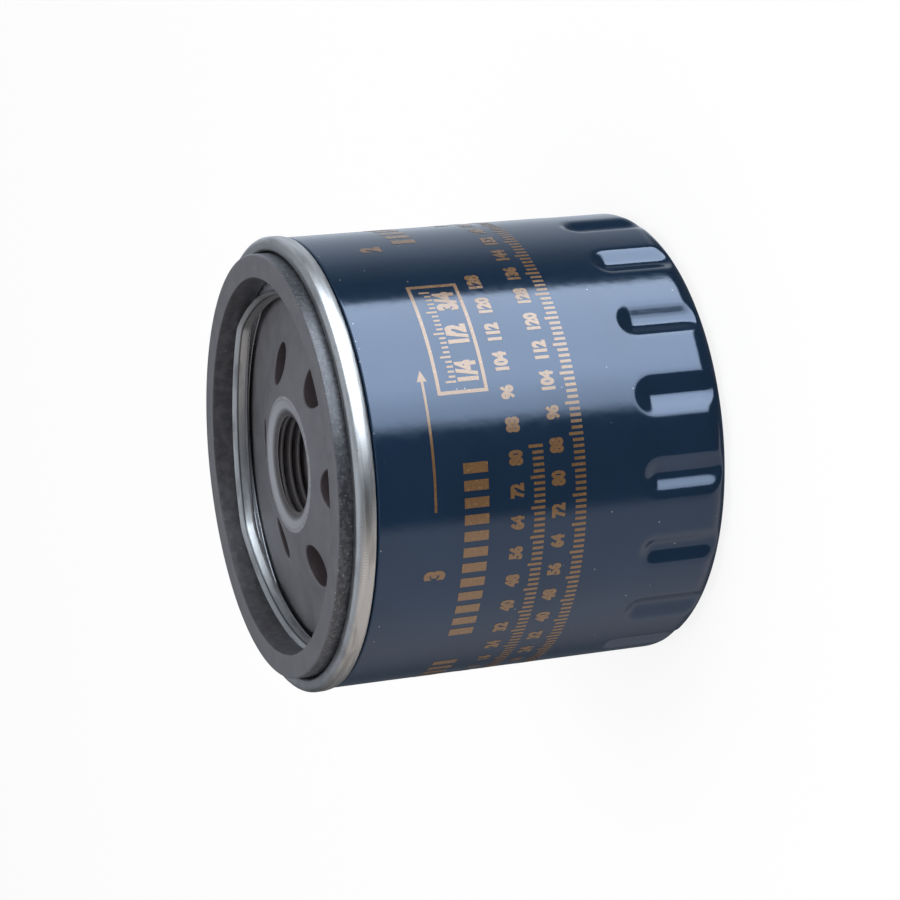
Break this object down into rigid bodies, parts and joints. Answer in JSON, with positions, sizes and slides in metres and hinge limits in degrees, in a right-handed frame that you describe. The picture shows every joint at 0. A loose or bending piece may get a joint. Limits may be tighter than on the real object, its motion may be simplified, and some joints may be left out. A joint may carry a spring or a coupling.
{
  "type": "oil filter",
  "caption": "Spin-on oil filter: a fluted steel can with a seamed lid, gasket and threaded plate, holding a sprung pleated element with a bypass valve.",
  "frame": {"origin": "centre of the can's closed end, on the surface it stands on", "axes": "+Z along the filter's axis, from the closed end to the gasket face; +X through a corner-to-corner middle of the crimped collar"},
  "size_m": [0.0768, 0.0768, 0.0678],
  "materials": {
    "navy_paint": "glossy navy enamel on drawn steel",
    "tin_plate": "bare tinned steel with fine rolling marks",
    "seam_sealant": "matt cured sealing compound",
    "gasket_rubber": "matt dark grey rubber, slightly dusty",
    "phosphated_steel": "dark phosphated pressed steel",
    "valve_rubber": "matt red-brown silicone rubber",
    "zinc_steel": "bright zinc-plated sheet steel",
    "spring_steel": "drawn spring wire",
    "adhesive": "hardened plastisol adhesive",
    "filter_paper": "resin-treated pleated paper"
  },
  "bodies": {
    "housing": {"canister": "navy_paint", "seaming_lid": "tin_plate", "seam_compound": "seam_sealant", "gasket": "gasket_rubber", "thread_plate": "phosphated_steel", "anti_drain_valve": "valve_rubber", "element_spring": "spring_steel"},
    "element": {"top_end_cap": "zinc_steel", "top_adhesive": "adhesive", "pleated_media": "filter_paper", "media_clip": "zinc_steel", "centre_tube": "zinc_steel", "bottom_adhesive": "adhesive", "bottom_end_cap": "zinc_steel", "bypass_seat": "zinc_steel", "bypass_cage": "zinc_steel", "bypass_spring": "spring_steel"},
    "poppet": {"bypass_poppet": "zinc_steel", "bypass_seal": "valve_rubber"}
  },
  "joints": [
    {"name": "element_float", "type": "slide", "parent": "housing", "child": "element", "axis": [0, 0, 1], "range_m": [-0.002, 0], "stiffness_N_per_m": 3000, "springref_m": 0.003, "deforming": ["element_spring"]},
    {"name": "bypass_lift", "type": "slide", "parent": "element", "child": "poppet", "axis": [0, 0, 1], "range_m": [0, 0.003], "stiffness_N_per_m": 2000, "springref_m": -0.005, "deforming": ["bypass_spring"]}
  ]
}
